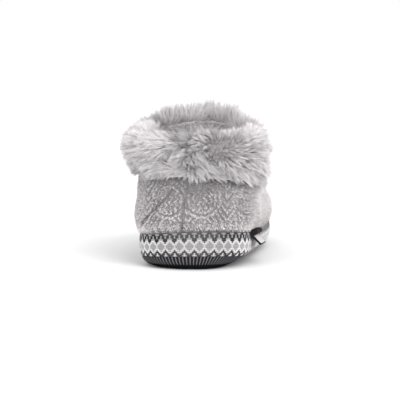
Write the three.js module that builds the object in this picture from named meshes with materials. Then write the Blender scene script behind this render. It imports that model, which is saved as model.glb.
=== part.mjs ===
// A plush slipper boot for the right foot: a cupped textile sole, an insole, a patterned knit band,
// a hollow plush upper, a turned-down fur cuff and a small side tab.
// Millimetres, +Z up, toe towards +Y, the outer side of the foot towards +X, standing on Z = 0.
import * as THREE from "three";

// Driving dimensions
const LENGTH = 256; // knit band, from the back of the heel to the tip of the toe
const GAP = 0.3; // clearance between pieces that touch
const SOLE_THICKNESS = 4;
const SOLE_RIM = 4; // width of the sole's upper edge
const INSOLE_THICKNESS = 6;
const BAND_WALL = 5; // knit and the pile lining behind it
const ARCH_HEIGHT = 1.5;
const ARCH_START = 66;
const ARCH_END = 142;
const TOE_SPRING = 8;
const SPRING_START = 188; // the tread leaves the floor here
const HEEL_ROUND = 40; // length of the plan's rounded end
const TOE_ROUND = 62;
const ROUNDNESS = 2.15; // exponent of the rounded ends, 2 being an ellipse

// Stations along each side of a ring, tips included
const HEEL_STEPS = 9;
const SIDE_STEPS = 10;
const TOE_STEPS = 9;
const STEPS = HEEL_STEPS + SIDE_STEPS + TOE_STEPS;

// The last from above and the heights of the two seams that run round it. drop is how much lower the sole's
// edge lies on the outer side. heel is the share of the upper's heel row that shapes it here, its ball row
// shaping the rest.
const PLAN = [
  { along: 0, centre: -0.6, half: 42.6, edge: 10.5, drop: 0, seam: 28.5, heel: 1 },
  { along: 35, centre: -0.1, half: 43.6, edge: 8, drop: 0.4, seam: 25, heel: 1 },
  { along: 95, centre: 1.5, half: 44.5, edge: 8.5, drop: 2, seam: 22.5, heel: 0.85 },
  { along: 165, centre: -1.5, half: 49.3, edge: 8.5, drop: 2.5, seam: 22, heel: 0 },
  { along: 215, centre: -6, half: 46.2, edge: 10.5, drop: 2.7, seam: 24.5, heel: 0 },
  { along: LENGTH, centre: -9, half: 39.5, edge: 16, drop: 0, seam: 31, heel: 0 },
];

const SEAM_RAISE = 2.5;
const EDGE_RAISE = 1.1;

// The outside of the upper, one row for each fold line from the seam up to the collar. back and front are
// where the ring starts and ends, heelEnd and toeEnd the lengths of its rounded ends, atHeel and atBall how
// far it stands outside the plan, riseBack and riseFront its height above the seam, shift how far it leans to
// the outer side, wall the depth of pile, cloth and lining together.
const UPPER = [
  { level: 0, back: 0, front: 256, heelEnd: 40, toeEnd: 62, atHeel: 0.5, atBall: 0.5,
    riseBack: GAP, riseFront: GAP, shift: 0, wall: 6 },
  { level: 0.125, back: -4.5, front: 259, heelEnd: 43, toeEnd: 66, atHeel: 3.5, atBall: 3.2,
    riseBack: 5.5, riseFront: 7, shift: 0, wall: 7.5 },
  { level: 0.25, back: -6, front: 256, heelEnd: 46, toeEnd: 74, atHeel: 5.4, atBall: 3.2,
    riseBack: 13, riseFront: 16, shift: 0, wall: 8.5 },
  { level: 0.375, back: -6, front: 244, heelEnd: 49, toeEnd: 88, atHeel: 5.4, atBall: 0.7,
    riseBack: 21, riseFront: 25, shift: 0, wall: 8.5 },
  { level: 0.5, back: -5, front: 219, heelEnd: 52, toeEnd: 104, atHeel: 4.4, atBall: -2.5,
    riseBack: 29, riseFront: 33, shift: 0, wall: 8.5 },
  { level: 0.625, back: -3.5, front: 187, heelEnd: 54, toeEnd: 110, atHeel: 4, atBall: -2.5,
    riseBack: 38, riseFront: 43, shift: -0.5, wall: 8.5 },
  { level: 0.75, back: -2, front: 160, heelEnd: 56, toeEnd: 98, atHeel: 2.5, atBall: -2.5,
    riseBack: 47, riseFront: 55, shift: -1, wall: 8.5 },
  { level: 0.875, back: -1, front: 142, heelEnd: 58, toeEnd: 82, atHeel: 1.5, atBall: -2.5,
    riseBack: 57.5, riseFront: 70, shift: -1.5, wall: 8.5 },
  { level: 1, back: 0, front: 132, heelEnd: 60, toeEnd: 70, atHeel: 1.5, atBall: -2.5,
    riseBack: 68, riseFront: 85, shift: -2, wall: 8.5 },
];
const UPPER_LEVELS = 20;
const HEM_BACK = 0.74; // level of the upper where the turned-down cuff ends, behind and in front
const HEM_FRONT = 0.78;
const HEM_DROP = 0.07; // how much lower it hangs on the outer side
const SKIRT_LEVELS = 7;

// The sole's outside from the tread up: inset from the plan, how much further in it tucks on the outer side,
// and share of the way from tread to rim.
const SOLE_PROFILE = [
  { inset: 13, tuck: 8, share: 0 },
  { inset: 8.5, tuck: 8.5, share: 0.08 },
  { inset: 4.5, tuck: 8.5, share: 0.3 },
  { inset: 1.8, tuck: 6.8, share: 0.62 },
  { inset: 0.6, tuck: 3, share: 1 },
];
// The knit band's section from its foot over the outside and down the inside: inset from the plan, tuck,
// share of the way from the sole's edge to the upper's seam, and height above that on the outer side.
const BAND_PROFILE = [
  { inset: 0.6, tuck: 3, share: 0, above: 0 },
  { inset: 0.3, tuck: 0.2, share: 0, above: 3.2 },
  { inset: -0.9, tuck: 0, share: 0.55, above: 0 },
  { inset: -0.3, tuck: 0, share: 1, above: 0 },
  { inset: BAND_WALL, tuck: 0, share: 1, above: 0 },
  { inset: BAND_WALL - 0.2, tuck: 0, share: 0.55, above: 0 },
  { inset: BAND_WALL - 0.2, tuck: 0.7, share: 0, above: 3.6 },
  { inset: BAND_WALL - 0.2, tuck: 3, share: 0, above: 0 },
];

// The cuff over the collar's edge, from the inside over the rim to the outside. out is measured outward from
// the collar's outer edge, up from that edge. The roll is flatter at the sides, by shares of its height.
const CUFF_RIM = [
  { out: -8.5, up: 0.8 },
  { out: -11, up: 6 },
  { out: -9.5, up: 12 },
  { out: -4, up: 15.5 },
  { out: 2.5, up: 15.5 },
  { out: 8.5, up: 12 },
  { out: 12, up: 6 },
];
const OUTER_SAG = 0.42;
const INNER_SAG = 0.12;
// The cuff's fur depth outside the upper, from the collar down to the hem, and how much deeper it is on the
// outer side.
const SKIRT = [
  { share: 0, depth: 13, deeper: 0 },
  { share: 0.35, depth: 13.5, deeper: 0.5 },
  { share: 0.7, depth: 10.5, deeper: 3.5 },
  { share: 1, depth: 4.5, deeper: 4 },
];
const SKIRT_CLEARANCE = 0.8;

// The side tab, a stiff folded label sewn into the upper seam.
const TAB = { along: 54, length: 26, drop: 11, lean: 47, thickness: 1.2, stand: 1.4, stitch: 1 };

const mix = (a, b, t) => a + (b - a) * t;

// A column of a table at a value of its first column, on a smooth curve through the rows.
function column(rows, key, value) {
  const [by] = Object.keys(rows[0]);
  const last = rows.length - 1;
  const at = THREE.MathUtils.clamp(value, rows[0][by], rows[last][by]);
  let i = 0;
  while (i < last - 1 && at > rows[i + 1][by]) i++;
  const slope = (low, high) => (rows[high][key] - rows[low][key]) / (rows[high][by] - rows[low][by]);
  const span = rows[i + 1][by] - rows[i][by];
  const t = (at - rows[i][by]) / span;
  const t2 = t * t;
  const t3 = t2 * t;
  const leave = span * slope(Math.max(i - 1, 0), i + 1);
  const arrive = span * slope(i, Math.min(i + 2, last));
  return (2 * t3 - 3 * t2 + 1) * rows[i][key] + (t3 - 2 * t2 + t) * leave
    + (3 * t2 - 2 * t3) * rows[i + 1][key] + (t3 - t2) * arrive;
}

const plan = (along, key) => column(PLAN, key, along);

// How far the tread stands off the floor: flat under heel and ball, arched between, sprung at the toe.
function lift(along) {
  const arch = THREE.MathUtils.clamp((along - ARCH_START) / (ARCH_END - ARCH_START), 0, 1);
  const toe = Math.max(0, (along - SPRING_START) / (LENGTH - SPRING_START));
  return ARCH_HEIGHT * Math.sin(Math.PI * arch) ** 2 + TOE_SPRING * toe * toe;
}

// Distance along the shoe and share of the full width at a station, for a ring with rounded ends.
function station(step, { back, front, heelEnd, toeEnd }) {
  const power = 2 / ROUNDNESS;
  if (step <= HEEL_STEPS) {
    const angle = (step / HEEL_STEPS) * (Math.PI / 2);
    return { along: back + heelEnd * (1 - Math.cos(angle) ** power), width: Math.sin(angle) ** power };
  }
  if (step >= STEPS - TOE_STEPS) {
    const angle = ((STEPS - step) / TOE_STEPS) * (Math.PI / 2);
    return { along: front - toeEnd * (1 - Math.cos(angle) ** power), width: Math.sin(angle) ** power };
  }
  const share = (step - HEEL_STEPS) / SIDE_STEPS;
  return { along: mix(back + heelEnd, front - toeEnd, share), width: 1 };
}

const COUNT = 2 * STEPS; // points round a ring: up the outer side from heel to toe, back along the inner side

// How far point i lies towards the outer side of its ring: 0 from the ends round the inner side, 1 along the
// outer side.
function outerness(i) {
  const index = (i + COUNT) % COUNT;
  const share = Math.min(index / HEEL_STEPS, (STEPS - index) / TOE_STEPS, 1);
  return index < STEPS ? Math.sin((Math.PI / 2) * share) : 0;
}

// Point i of a ring; height takes the distance along the shoe and the share of the ring's own length.
function ringPoint(i, shape, height) {
  const index = (i + COUNT) % COUNT;
  const step = index <= STEPS ? index : COUNT - index;
  const side = index <= STEPS ? 1 : -1;
  const { along, width } = station(step, shape);
  const half = plan(along, "half") + mix(shape.atBall, shape.atHeel, plan(along, "heel"));
  const share = (along - shape.back) / (shape.front - shape.back);
  return new THREE.Vector3(
    plan(along, "centre") + shape.shift + side * half * Math.max(width, 0),
    along,
    height(along, share),
  );
}

const ringOf = (pointAt) => Array.from({ length: COUNT }, (_, i) => pointAt(i));

// The band is sewn on a little higher round the outer half of the heel: its share of that at point i.
function askew(i) {
  const index = ((i + STEPS) % COUNT) - STEPS;
  return THREE.MathUtils.smoothstep(index, -5.5, 2.5) * (1 - THREE.MathUtils.smoothstep(index, 5, 16));
}

// Heights at point i of the sole's edge and of the upper's seam.
const edge = (along, i) => plan(along, "edge") - plan(along, "drop") * outerness(i) + EDGE_RAISE * askew(i);
const seam = (along, i) => plan(along, "seam") + SEAM_RAISE * askew(i);

// A ring that keeps to the plan, a distance inside it and tucked further in on the outer side. height takes
// the distance along the shoe and the point's number.
function insetRing(inset, height, tuck = 0) {
  const shape = {
    back: inset,
    front: LENGTH - inset,
    heelEnd: HEEL_ROUND - inset * 0.6,
    toeEnd: TOE_ROUND - inset * 0.6,
    atHeel: -inset,
    atBall: -inset,
    shift: 0,
  };
  return ringOf((i) => {
    const point = ringPoint(i, shape, (along) => height(along, i));
    return point.setX(point.x - tuck * outerness(i) ** 1.8);
  });
}

// The upper's outside at point i of a level that runs from 0 at the seam to 1 at the collar.
function upperPoint(level, i) {
  const shape = {};
  for (const key of Object.keys(UPPER[0])) shape[key] = column(UPPER, key, level);
  const height = (along, share) =>
    mix(seam(along, i), plan(along, "seam"), level) + mix(shape.riseBack, shape.riseFront, share);
  return ringPoint(i, shape, height);
}

// The outward direction there, or its level part.
function upperNormal(level, i, isLevel) {
  const across = upperPoint(level, i + 1).sub(upperPoint(level, i - 1));
  const step = 0.02;
  const up = upperPoint(Math.min(level + step, 1), i).sub(upperPoint(Math.max(level - step, 0), i));
  const normal = across.cross(up);
  if (isLevel) normal.z = 0;
  return normal.normalize();
}

// A ring off the upper's outside. levelAt and distanceAt give the level and the distance at each point.
function upperRing(levelAt, distanceAt, isLevel) {
  return ringOf((i) => {
    const level = levelAt(i);
    return upperPoint(level, i).addScaledVector(upperNormal(level, i, isLevel), distanceAt(i));
  });
}

// Joins rings of equal length into one closed surface. Loops close on their first ring, the others are
// capped by strips between the two sides.
function loft(rings, isLoop) {
  const count = rings[0].length;
  const positions = rings.flat().flatMap((p) => [p.x, p.y, p.z]);
  const index = [];
  const quad = (a, b, c, d) => index.push(a, b, c, a, c, d);
  const spans = isLoop ? rings.length : rings.length - 1;
  for (let r = 0; r < spans; r++) {
    const low = r * count;
    const high = ((r + 1) % rings.length) * count;
    for (let i = 0; i < count; i++) {
      const j = (i + 1) % count;
      quad(low + i, low + j, high + j, high + i);
    }
  }
  if (!isLoop) {
    const cap = (base, faceUp) => {
      for (let s = 0; s < STEPS; s++) {
        const outer = [base + s, base + s + 1];
        const inner = [base + ((2 * STEPS - s) % count), base + (2 * STEPS - s - 1)];
        const corners = [outer[0], outer[1], inner[1], inner[0]];
        const kept = corners.filter((c, k) => corners.indexOf(c) === k);
        if (!faceUp) kept.reverse();
        for (let k = 1; k + 1 < kept.length; k++) index.push(kept[0], kept[k], kept[k + 1]);
      }
    };
    cap(0, false);
    cap((rings.length - 1) * count, true);
  }
  const geometry = new THREE.BufferGeometry();
  geometry.setAttribute("position", new THREE.Float32BufferAttribute(positions, 3));
  geometry.setIndex(index);
  geometry.computeVertexNormals();
  return geometry;
}

function outsole() {
  const floor = (along) => lift(along) + SOLE_THICKNESS;
  const outside = SOLE_PROFILE.map(({ inset, tuck, share }) =>
    insetRing(inset, (along, i) => mix(lift(along), edge(along, i), share), tuck));
  const rim = SOLE_PROFILE.at(-1).inset + SOLE_RIM;
  const inside = [
    insetRing(rim, edge, 3),
    insetRing(rim + 2.2, (along, i) => mix(floor(along), edge(along, i), 0.4), 5),
    insetRing(rim + 6.5, floor, 5.5),
  ];
  return loft([...outside, ...inside], false);
}

function insole() {
  const under = (along) => lift(along) + SOLE_THICKNESS + GAP;
  const top = (along) => under(along) + INSOLE_THICKNESS;
  const crown = (along) => top(along) - 1;
  return loft([insetRing(12.5, under, 5.5), insetRing(9, crown, 3), insetRing(11, top, 2.5)], false);
}

function knitBand() {
  const height = (share, above) => (along, i) =>
    mix(edge(along, i) + GAP, seam(along, i), share) + above * outerness(i);
  return loft(BAND_PROFILE.map(({ inset, tuck, share, above }) =>
    insetRing(inset, height(share, above), tuck)), true);
}

function upper() {
  const outside = [];
  const inside = [];
  for (let k = 0; k <= UPPER_LEVELS; k++) {
    const level = k / UPPER_LEVELS;
    const isEdge = k === 0 || k === UPPER_LEVELS;
    outside.push(upperRing(() => level, () => 0, isEdge));
    inside.push(upperRing(() => level, () => -column(UPPER, "wall", level), isEdge));
  }
  return loft([...outside, ...inside.reverse()], true);
}

// The level of the cuff's hem at point i.
function hem(i) {
  const frontness = (1 - Math.cos((Math.PI * i) / STEPS)) / 2;
  return mix(HEM_BACK, HEM_FRONT, frontness) - HEM_DROP * outerness(i);
}

function cuff() {
  const collar = ({ out, up }) => ringOf((i) => {
    const top = upperPoint(1, i);
    const roll = up * (1 - OUTER_SAG * outerness(i) - INNER_SAG * outerness(COUNT - i));
    return top.clone().addScaledVector(upperNormal(1, i, true), out).setZ(top.z + roll);
  });
  const rim = CUFF_RIM.map(collar);
  const skirt = [];
  const lining = [];
  for (let k = 0; k <= SKIRT_LEVELS; k++) {
    const share = k / SKIRT_LEVELS;
    const depthAt = (i) => column(SKIRT, "depth", share) + column(SKIRT, "deeper", share) * outerness(i);
    const levelAt = (i) => mix(1, hem(i), share);
    skirt.push(upperRing(levelAt, depthAt, false));
    lining.push(upperRing(levelAt, () => SKIRT_CLEARANCE, false));
  }
  const brim = collar({ out: SKIRT_CLEARANCE, up: CUFF_RIM[0].up });
  return loft([...rim, ...skirt, ...lining.reverse(), brim].reverse(), true);
}

// A thin leaf that leans out and down from the seam on the outer side.
function sideTab() {
  const { along, length, drop, lean, thickness, stand, stitch } = TAB;
  const angle = THREE.MathUtils.degToRad(lean);
  const geometry = new THREE.BoxGeometry(drop, length, thickness);
  geometry.translate(drop / 2, along, thickness / 2);
  geometry.rotateY(angle);
  const position = geometry.getAttribute("position");
  for (let i = 0; i < position.count; i++) {
    const y = position.getY(i);
    const hinge = plan(y, "centre") + plan(y, "half") + stand;
    position.setXYZ(i, position.getX(i) + hinge, y, position.getZ(i) + plan(y, "seam") + stitch);
  }
  geometry.computeVertexNormals();
  return geometry;
}

function named(name, geometry, colour, roughness) {
  const material = new THREE.MeshStandardMaterial({ color: colour, roughness, metalness: 0 });
  const mesh = new THREE.Mesh(geometry, material);
  mesh.name = name;
  return mesh;
}

const slipper = new THREE.Group();
slipper.add(
  named("outsole", outsole(), 0x3a383b, 0.95),
  named("insole", insole(), 0xa9a4a5, 1),
  named("knit_band", knitBand(), 0xb9b5b6, 0.95),
  named("upper", upper(), 0xb4afb0, 1),
  named("cuff", cuff(), 0xbdb8ba, 1),
  named("side_tab", sideTab(), 0x39343a, 0.6),
);

// The origin is the middle of the footprint's box, on the floor.
const box = new THREE.Box3().setFromObject(slipper);
const middle = box.getCenter(new THREE.Vector3());
for (const mesh of slipper.children) mesh.geometry.translate(-middle.x, -middle.y, -box.min.z);

export default slipper;
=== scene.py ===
"""A plush slipper for the right foot: long-pile cuff, embossed plush, patterned knit band, ribbed sole."""
import math

import bmesh
import bpy
import numpy as np
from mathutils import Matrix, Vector


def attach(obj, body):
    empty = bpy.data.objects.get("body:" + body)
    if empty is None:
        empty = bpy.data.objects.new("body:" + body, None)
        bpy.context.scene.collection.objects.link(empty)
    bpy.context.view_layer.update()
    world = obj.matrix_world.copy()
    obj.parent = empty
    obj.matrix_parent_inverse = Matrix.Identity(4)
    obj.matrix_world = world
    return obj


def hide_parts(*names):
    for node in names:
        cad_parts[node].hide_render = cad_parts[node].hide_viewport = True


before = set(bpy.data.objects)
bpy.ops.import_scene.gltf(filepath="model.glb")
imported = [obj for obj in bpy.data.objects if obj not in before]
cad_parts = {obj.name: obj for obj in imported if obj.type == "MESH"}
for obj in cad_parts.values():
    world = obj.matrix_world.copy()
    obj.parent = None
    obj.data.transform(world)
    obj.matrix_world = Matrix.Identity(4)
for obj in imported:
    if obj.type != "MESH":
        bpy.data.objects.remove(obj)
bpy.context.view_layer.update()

MM = 0.001
MIDDLE = np.array([-0.236, 122.388, 0.0])  # middle of the footprint's box in the last's own measures, mm


def table(names, *rows):
    """Columns by name from rows of numbers; the first column is the one the others are read by."""
    return {name: np.array(values, float) for name, values in zip(names.split(), zip(*rows))}


# The last from above, with the heights of its two seams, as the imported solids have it. Millimetres.
LENGTH = 256.0
GAP = 0.3
ROUNDNESS = 2.15
HEEL_END, TOE_END = 40, 62  # how far the plan's rounded ends reach along it
ARCH_START, ARCH_LENGTH, ARCH_RISE = 66, 76, 1.5
SPRING_START, TOE_SPRING = 188, 8
SEAM_RAISE, EDGE_RAISE = 2.5, 1.1  # behind the outer heel
OUTER_TUCK = 1.8  # the power by which the outer side tucks in
HEEL_STEPS, SIDE_STEPS, TOE_STEPS = 9, 10, 9
STEPS = HEEL_STEPS + SIDE_STEPS + TOE_STEPS
COUNT = 2 * STEPS
PLAN = table(
    "along centre half edge drop seam heel",
    (0, -0.6, 42.6, 10.5, 0, 28.5, 1),
    (35, -0.1, 43.6, 8, 0.4, 25, 1),
    (95, 1.5, 44.5, 8.5, 2, 22.5, 0.85),
    (165, -1.5, 49.3, 8.5, 2.5, 22, 0),
    (215, -6, 46.2, 10.5, 2.7, 24.5, 0),
    (LENGTH, -9, 39.5, 16, 0, 31, 0),
)
UPPER = table(
    "level back front heel_end toe_end at_heel at_ball rise_back rise_front shift wall",
    (0, 0, 256, 40, 62, 0.5, 0.5, 0.3, 0.3, 0, 6),
    (0.125, -4.5, 259, 43, 66, 3.5, 3.2, 5.5, 7, 0, 7.5),
    (0.25, -6, 256, 46, 74, 5.4, 3.2, 13, 16, 0, 8.5),
    (0.375, -6, 244, 49, 88, 5.4, 0.7, 21, 25, 0, 8.5),
    (0.5, -5, 219, 52, 104, 4.4, -2.5, 29, 33, 0, 8.5),
    (0.625, -3.5, 187, 54, 110, 4, -2.5, 38, 43, -0.5, 8.5),
    (0.75, -2, 160, 56, 98, 2.5, -2.5, 47, 55, -1, 8.5),
    (0.875, -1, 142, 58, 82, 1.5, -2.5, 57.5, 70, -1.5, 8.5),
    (1, 0, 132, 60, 70, 1.5, -2.5, 68, 85, -2, 8.5),
)
HEM_BACK, HEM_FRONT, HEM_DROP = 0.74, 0.78, 0.07


def column(rows, key, value):
    """A column of a table at values of its first column, on a smooth curve through the rows."""
    by, of = next(iter(rows.values())), rows[key]
    at = np.clip(value, by[0], by[-1])
    i = np.clip(np.searchsorted(by, at, side="left") - 1, 0, len(by) - 2)
    before, after = np.maximum(i - 1, 0), np.minimum(i + 2, len(by) - 1)
    span = by[i + 1] - by[i]
    t = (at - by[i]) / span
    leave = span * (of[i + 1] - of[before]) / (by[i + 1] - by[before])
    arrive = span * (of[after] - of[i]) / (by[after] - by[i])
    low = (2 * t**3 - 3 * t**2 + 1) * of[i] + (t**3 - 2 * t**2 + t) * leave
    return low + (3 * t**2 - 2 * t**3) * of[i + 1] + (t**3 - t**2) * arrive


def mix(a, b, t):
    return a + (b - a) * t


def smooth(value, low, high):
    """0 below low, 1 above high, eased between."""
    t = np.clip((value - low) / (high - low), 0, 1)
    return t * t * (3 - 2 * t)


def plan(along, key):
    return column(PLAN, key, along)


def lift(along):
    """How far the tread stands off the floor."""
    arch = np.clip((along - ARCH_START) / ARCH_LENGTH, 0, 1)
    toe = np.maximum(0, (along - SPRING_START) / (LENGTH - SPRING_START))
    return ARCH_RISE * np.sin(math.pi * arch) ** 2 + TOE_SPRING * toe * toe


def outerness(turn):
    """How far a turn lies towards the outer side: 0 all along the inner side, 1 along the outer one."""
    index = (turn % 1.0) * COUNT
    share = np.minimum(np.minimum(index / HEEL_STEPS, (STEPS - index) / TOE_STEPS), 1)
    return np.where(index < STEPS, np.sin(math.pi / 2 * share), 0)


def askew(turn):
    """The share of its raise that the band has at a turn: it is sewn on higher behind the outer heel."""
    index = (turn * COUNT + STEPS) % COUNT - STEPS
    return smooth(index, -5.5, 2.5) * (1 - smooth(index, 5, 16))


def edge(along, turn):
    """Height of the sole's edge."""
    return plan(along, "edge") - plan(along, "drop") * outerness(turn) + EDGE_RAISE * askew(turn)


def seam(along, turn):
    """Height of the seam between band and upper."""
    return plan(along, "seam") + SEAM_RAISE * askew(turn)


def ring(turn, back, front, heel_end, toe_end, at_heel, at_ball, shift, height):
    """Points round the shoe: turn 0 is the back of the heel, 0.25 the outer side, 0.5 the toe."""
    index = (turn % 1.0) * COUNT
    step = np.minimum(index, COUNT - index)
    power = 2 / ROUNDNESS
    heel = np.clip(step / HEEL_STEPS, 0, 1) * math.pi / 2
    toe = np.clip((STEPS - step) / TOE_STEPS, 0, 1) * math.pi / 2
    side = np.clip((step - HEEL_STEPS) / SIDE_STEPS, 0, 1)
    cosine = lambda angle: np.maximum(np.cos(angle), 0) ** power
    along = mix(back + heel_end, front - toe_end, side)
    along = np.where(step >= STEPS - TOE_STEPS, front - toe_end * (1 - cosine(toe)), along)
    along = np.where(step <= HEEL_STEPS, back + heel_end * (1 - cosine(heel)), along)
    width = np.minimum(np.sin(heel), np.sin(toe)) ** power
    half = plan(along, "half") + mix(at_ball, at_heel, plan(along, "heel"))
    x = plan(along, "centre") + shift + np.where(index <= STEPS, 1, -1) * half * width
    return np.stack([x, along, height(along, (along - back) / (front - back))], -1)


def inset_ring(turn, inset, height, tuck=0.0):
    """Points that keep to the plan, a distance inside it and tucked further in on the outer side."""
    ends = HEEL_END - inset * 0.6, TOE_END - inset * 0.6
    at_turn = lambda along, share: height(along, turn)
    points = ring(turn, inset, LENGTH - inset, *ends, -inset, -inset, 0, at_turn)
    points[..., 0] -= tuck * outerness(turn) ** OUTER_TUCK
    return points


def level_normal(points):
    """Outward ways in plan from a closed ring of points."""
    way = np.roll(points, -1, axis=0) - np.roll(points, 1, axis=0)
    return unit(np.stack([way[:, 1], -way[:, 0], np.zeros(len(points))], -1))


def upper_point(level, turn):
    """The upper's outside; level runs from 0 at the band to 1 at the collar."""
    level, turn = np.broadcast_arrays(np.asarray(level, float), np.asarray(turn, float))
    row = {key: column(UPPER, key, level) for key in UPPER}
    foot = lambda along: mix(seam(along, turn), plan(along, "seam"), level)
    rise = lambda along, share: foot(along) + mix(row["rise_back"], row["rise_front"], share)
    keys = "back front heel_end toe_end at_heel at_ball shift".split()
    return ring(turn, *(row[key] for key in keys), rise)


def unit(vectors):
    return vectors / np.maximum(np.linalg.norm(vectors, axis=-1, keepdims=True), 1e-9)


def upper_normal(level, turn, flat=False):
    around = upper_point(level, turn + 0.5 / COUNT) - upper_point(level, turn - 0.5 / COUNT)
    up = upper_point(np.minimum(level + 0.02, 1), turn) - upper_point(np.maximum(level - 0.02, 0), turn)
    normal = np.cross(around, up)
    if flat:
        normal[..., 2] = 0
    return unit(normal)


def off_upper(level, turn, distance, flat=False):
    distance = np.broadcast_to(np.asarray(distance, float), np.broadcast(level, turn).shape)
    return upper_point(level, turn) + upper_normal(level, turn, flat) * distance[..., None]


FINE_TURNS = np.linspace(-0.5, 0.5, 4001)


def distances(points):
    """How far round a ring at the fine turns each point lies, mm, from 0 at the heel."""
    run = np.concatenate([[0], np.cumsum(np.linalg.norm(np.diff(points, axis=0), axis=-1))])
    return run - run[len(run) // 2]


def band_ring(height_share):
    middle = lambda along, turn: mix(edge(along, turn), seam(along, turn), height_share)
    return distances(inset_ring(FINE_TURNS, -0.5, middle))


UPPER_RUN = distances(upper_point(0.3, FINE_TURNS))
COLLAR_RUN = distances(upper_point(0.93, FINE_TURNS))
HALF_ROUND = float(UPPER_RUN[-1])


def arc(turn):
    """Distance round the upper from the heel, mm, positive to the outer side."""
    return np.interp((np.asarray(turn) + 0.5) % 1.0 - 0.5, FINE_TURNS, UPPER_RUN)


def turn_at(run, distance):
    """The turn that lies a distance round a ring."""
    length = run[-1] - run[0]
    return np.interp((distance - run[0]) % length + run[0], run, FINE_TURNS)


def collar_turns(first, last, count):
    """Turns evenly spaced round the collar between two shares of its length."""
    return turn_at(COLLAR_RUN, np.linspace(first, last, count) * (COLLAR_RUN[-1] - COLLAR_RUN[0]))


# Nodes


class Wire:
    """A socket's value in a node tree; numbers add Math nodes and vectors add Vector Math nodes."""

    def __init__(self, graph, socket):
        self.graph, self.socket = graph, socket
        self.is_vector = socket.type in ("VECTOR", "RGBA")

    def _join(self, operation, left, right):
        kind = lambda x: isinstance(x, (tuple, list)) or (isinstance(x, Wire) and x.is_vector)
        vectors = kind(left) + kind(right)
        if vectors == 1 and operation == "MULTIPLY":
            vector, number = (left, right) if kind(left) else (right, left)
            values = {0: vector, "Scale": number}
            return self.graph.node("ShaderNodeVectorMath", {"operation": "SCALE"}, values)["Vector"]
        family, out = ("ShaderNodeVectorMath", "Vector") if vectors else ("ShaderNodeMath", "Value")
        return self.graph.node(family, {"operation": operation}, {0: left, 1: right})[out]

    def wave(self):
        return self.graph.node("ShaderNodeMath", {"operation": "SINE"}, {0: self})["Value"]

    def range(self, low, high, out_low=0.0, out_high=1.0):
        values = {"Value": self, "From Min": low, "From Max": high, "To Min": out_low, "To Max": out_high}
        return self.graph.node("ShaderNodeMapRange", {"interpolation_type": "SMOOTHSTEP"}, values)["Result"]

    def _vector(self, operation, *others, out="Vector"):
        values = dict(enumerate((self, *others)))
        return self.graph.node("ShaderNodeVectorMath", {"operation": operation}, values)[out]

    def cross(self, other):
        return self._vector("CROSS_PRODUCT", other)

    def dot(self, other):
        return self._vector("DOT_PRODUCT", other, out="Value")

    def unit(self):
        return self._vector("NORMALIZE")


OPERATORS = {"add": "ADD", "sub": "SUBTRACT", "mul": "MULTIPLY", "truediv": "DIVIDE", "pow": "POWER"}
for word, operation in OPERATORS.items():
    setattr(Wire, f"__{word}__", lambda self, other, name=operation: self._join(name, self, other))
    setattr(Wire, f"__r{word}__", lambda self, other, name=operation: self._join(name, other, self))


class Outputs:
    """A node's outputs as wires."""

    def __init__(self, graph, node):
        self.graph, self.node = graph, node

    def __getitem__(self, key):
        return Wire(self.graph, self.node.outputs[key])


class Graph:
    """A node tree under construction."""

    def __init__(self, tree):
        self.tree = tree

    def node(self, kind, settings=None, values=None):
        made = self.tree.nodes.new(kind)
        for key, setting in (settings or {}).items():
            setattr(made, key, setting)
        for key, value in (values or {}).items():
            if isinstance(value, Wire):
                self.tree.links.new(value.socket, made.inputs[key])
            else:
                made.inputs[key].default_value = value
        return Outputs(self, made)

    def mix_colour(self, factor, a, b):
        pair = [value if isinstance(value, Wire) else (*value, 1) for value in (a, b)]
        settings = {"data_type": "RGBA"}
        return self.node("ShaderNodeMix", settings, {0: factor, 6: pair[0], 7: pair[1]})[2]

    def noise(self, place, scale, detail, out="Fac"):
        return self.node("ShaderNodeTexNoise", {}, {"Vector": place, "Scale": scale, "Detail": detail})[out]

    def dented(self, height, strength, distance):
        values = {"Height": height, "Strength": strength, "Distance": distance}
        return self.node("ShaderNodeBump", {}, values)["Normal"]

    def attribute(self, name, kind="FLOAT"):
        return self.node("GeometryNodeInputNamedAttribute", {"data_type": kind}, {"Name": name})["Attribute"]

    def store(self, geometry, name, value, kind, domain="POINT"):
        settings = {"data_type": kind, "domain": domain}
        values = {"Geometry": geometry, "Name": name, "Value": value}
        return self.node("GeometryNodeStoreNamedAttribute", settings, values)["Geometry"]

    def chance(self, low, high, seed):
        values = {2: low, 3: high, "Seed": seed}
        return self.node("FunctionNodeRandomValue", {"data_type": "FLOAT"}, values)[1]

    def chance_vector(self, size, seed):
        values = {0: (-size,) * 3, 1: (size,) * 3, "Seed": seed}
        return self.node("FunctionNodeRandomValue", {"data_type": "FLOAT_VECTOR"}, values)[0]


def material(name, roughness=0.9, sheen=0.0, specular=0.3):
    """A new material, its graph and its shader's input setter."""
    made = bpy.data.materials.new(name)
    made.use_nodes = True
    shader = made.node_tree.nodes["Principled BSDF"]
    graph = Graph(made.node_tree)

    def feed(key, value):
        if isinstance(value, Wire):
            graph.tree.links.new(value.socket, shader.inputs[key])
        else:
            shader.inputs[key].default_value = value

    feed("Roughness", roughness)
    feed("Specular IOR Level", specular)
    feed("Sheen Weight", sheen)
    feed("Sheen Roughness", 0.5)
    return made, graph, feed


PILE_MAP = "OFBake"  # u is a strand's tint, v runs from its root to its tip


def map_parts(graph):
    uv = graph.node("ShaderNodeUVMap", {"uv_map": PILE_MAP})["UV"]
    parts = graph.node("ShaderNodeSeparateXYZ", {}, {"Vector": uv})
    return parts["X"], parts["Y"]


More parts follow.
